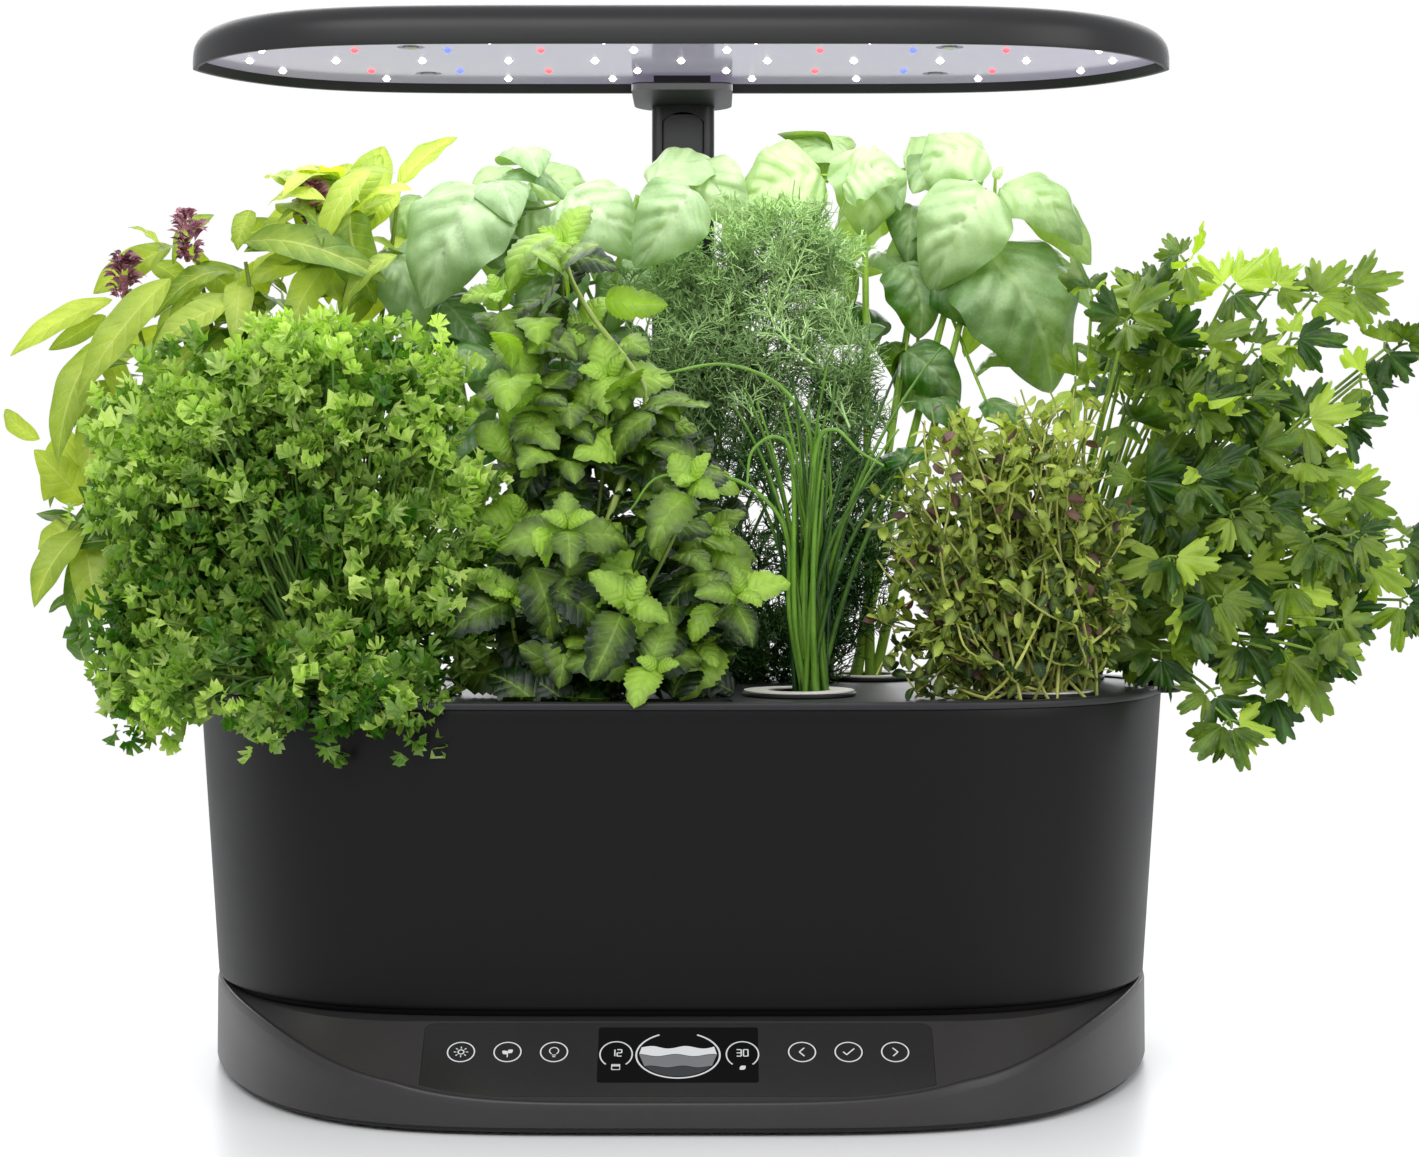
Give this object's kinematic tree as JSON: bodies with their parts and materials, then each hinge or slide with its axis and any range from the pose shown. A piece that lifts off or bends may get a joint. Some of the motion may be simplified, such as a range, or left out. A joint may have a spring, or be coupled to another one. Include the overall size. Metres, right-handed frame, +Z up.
{
  "type": "countertop hydroponic garden",
  "caption": "Countertop hydroponic garden: oval water bowl on a base with a sloping control panel, herbs in a lift-off deck, and a lamp hood on a telescoping mast.",
  "frame": {"origin": "on the resting plane, in the middle of the centre rubber foot, under the bowl", "axes": "+X to the right seen from the control panel, +Y to the back where the mast stands, +Z up"},
  "size_m": [0.6355, 0.288, 0.4555],
  "materials": {
    "matte_black": "fine texture",
    "satin_black": "satin",
    "gloss_black": "gloss",
    "foot_rubber": "matt",
    "screw_steel": "plated",
    "circuit_board": "solder mask",
    "contacts": "insulated contacts",
    "filter_foam": "open foam",
    "impeller_white": "moulded",
    "float_ivory": "closed-cell foam",
    "grow_sponge": "peat foam",
    "label_card": "printed card",
    "mast_metal": "black anodised",
    "reflector_white": "gloss",
    "led_white": "lens",
    "led_red": "lens",
    "led_blue": "lens",
    "curly_parsley_leaf": "leaf",
    "mint_leaf": "leaf",
    "chives_leaf": "leaf",
    "thyme_leaf": "leaf",
    "thai_basil_leaf": "leaf",
    "basil_left_leaf": "leaf",
    "dill_leaf": "leaf",
    "basil_right_leaf": "leaf",
    "flat_parsley_leaf": "leaf"
  },
  "bodies": {
    "base": {"base_shell": "matte_black", "base_tray": "matte_black", "rubber_feet": "foot_rubber", "base_screws": "screw_steel", "control_overlay": "gloss_black", "display_window": "gloss_black", "lcd_module": "circuit_board", "control_board": "circuit_board", "power_jack": "contacts", "level_sensor": "circuit_board", "bowl_plug": "contacts", "mast_base": "mast_metal"},
    "light_key": {"light_key": "gloss_black"},
    "plant_key": {"plant_key": "gloss_black"},
    "tips_key": {"tips_key": "gloss_black"},
    "back_key": {"back_key": "gloss_black"},
    "ok_key": {"ok_key": "gloss_black"},
    "next_key": {"next_key": "gloss_black"},
    "bowl": {"bowl": "satin_black", "bowl_socket": "satin_black", "pump_housing": "matte_black", "pump_cover": "matte_black", "pump_filter": "filter_foam", "riser_tube": "matte_black", "float_cage": "matte_black"},
    "impeller": {"pump_impeller": "impeller_white"},
    "float": {"level_float": "float_ivory"},
    "deck": {"grow_deck": "satin_black", "grow_basket_1": "satin_black", "grow_basket_2": "satin_black", "grow_basket_3": "satin_black", "grow_basket_4": "satin_black", "grow_basket_5": "satin_black", "grow_basket_6": "satin_black", "grow_basket_7": "satin_black", "grow_basket_8": "satin_black", "grow_basket_9": "satin_black", "grow_sponges": "grow_sponge", "pod_labels": "label_card", "curly_parsley": "curly_parsley_leaf", "mint": "mint_leaf", "chives": "chives_leaf", "thyme": "thyme_leaf", "thai_basil": "thai_basil_leaf", "basil_left": "basil_left_leaf", "dill": "dill_leaf", "basil_right": "basil_right_leaf", "flat_parsley": "flat_parsley_leaf"},
    "mast_middle": {"mast_middle": "mast_metal"},
    "lamp": {"mast_sleeve": "mast_metal", "hood_bracket": "satin_black", "hood_shell": "satin_black", "hood_reflector": "reflector_white", "led_board": "circuit_board", "white_leds": "led_white", "red_leds": "led_red", "blue_leds": "led_blue", "hood_screws": "screw_steel"}
  },
  "joints": [
    {"name": "light_key_press", "type": "slide", "parent": "base", "child": "light_key", "axis": [0, 0.565, -0.8251], "range_m": [0, 0.0008], "stiffness_N_per_m": 800, "springref_m": -0.0004},
    {"name": "plant_key_press", "type": "slide", "parent": "base", "child": "plant_key", "axis": [0, 0.565, -0.8251], "range_m": [0, 0.0008], "stiffness_N_per_m": 800, "springref_m": -0.0004},
    {"name": "tips_key_press", "type": "slide", "parent": "base", "child": "tips_key", "axis": [0, 0.565, -0.8251], "range_m": [0, 0.0008], "stiffness_N_per_m": 800, "springref_m": -0.0004},
    {"name": "back_key_press", "type": "slide", "parent": "base", "child": "back_key", "axis": [0, 0.565, -0.8251], "range_m": [0, 0.0008], "stiffness_N_per_m": 800, "springref_m": -0.0004},
    {"name": "ok_key_press", "type": "slide", "parent": "base", "child": "ok_key", "axis": [0, 0.565, -0.8251], "range_m": [0, 0.0008], "stiffness_N_per_m": 800, "springref_m": -0.0004},
    {"name": "next_key_press", "type": "slide", "parent": "base", "child": "next_key", "axis": [0, 0.565, -0.8251], "range_m": [0, 0.0008], "stiffness_N_per_m": 800, "springref_m": -0.0004},
    {"name": "bowl_lift", "type": "slide", "parent": "base", "child": "bowl", "axis": [0, 0, 1], "range_m": [0, 0.007]},
    {"name": "deck_lift", "type": "slide", "parent": "bowl", "child": "deck", "axis": [0, 0, 1], "range_m": [0, 0.008]},
    {"name": "impeller_spin", "type": "hinge", "parent": "bowl", "child": "impeller", "pos_m": [0.118, -0.004, 0.05], "axis": [0, 0, 1], "continuous": true},
    {"name": "float_rise", "type": "slide", "parent": "bowl", "child": "float", "axis": [0, 0, 1], "range_m": [0, 0.044]},
    {"name": "mast_middle_slide", "type": "slide", "parent": "base", "child": "mast_middle", "axis": [0, 0, 1], "range_m": [0, 0.209]},
    {"name": "mast_upper_slide", "type": "slide", "parent": "mast_middle", "child": "lamp", "axis": [0, 0, 1], "range_m": [0, 0.209]}
  ]
}
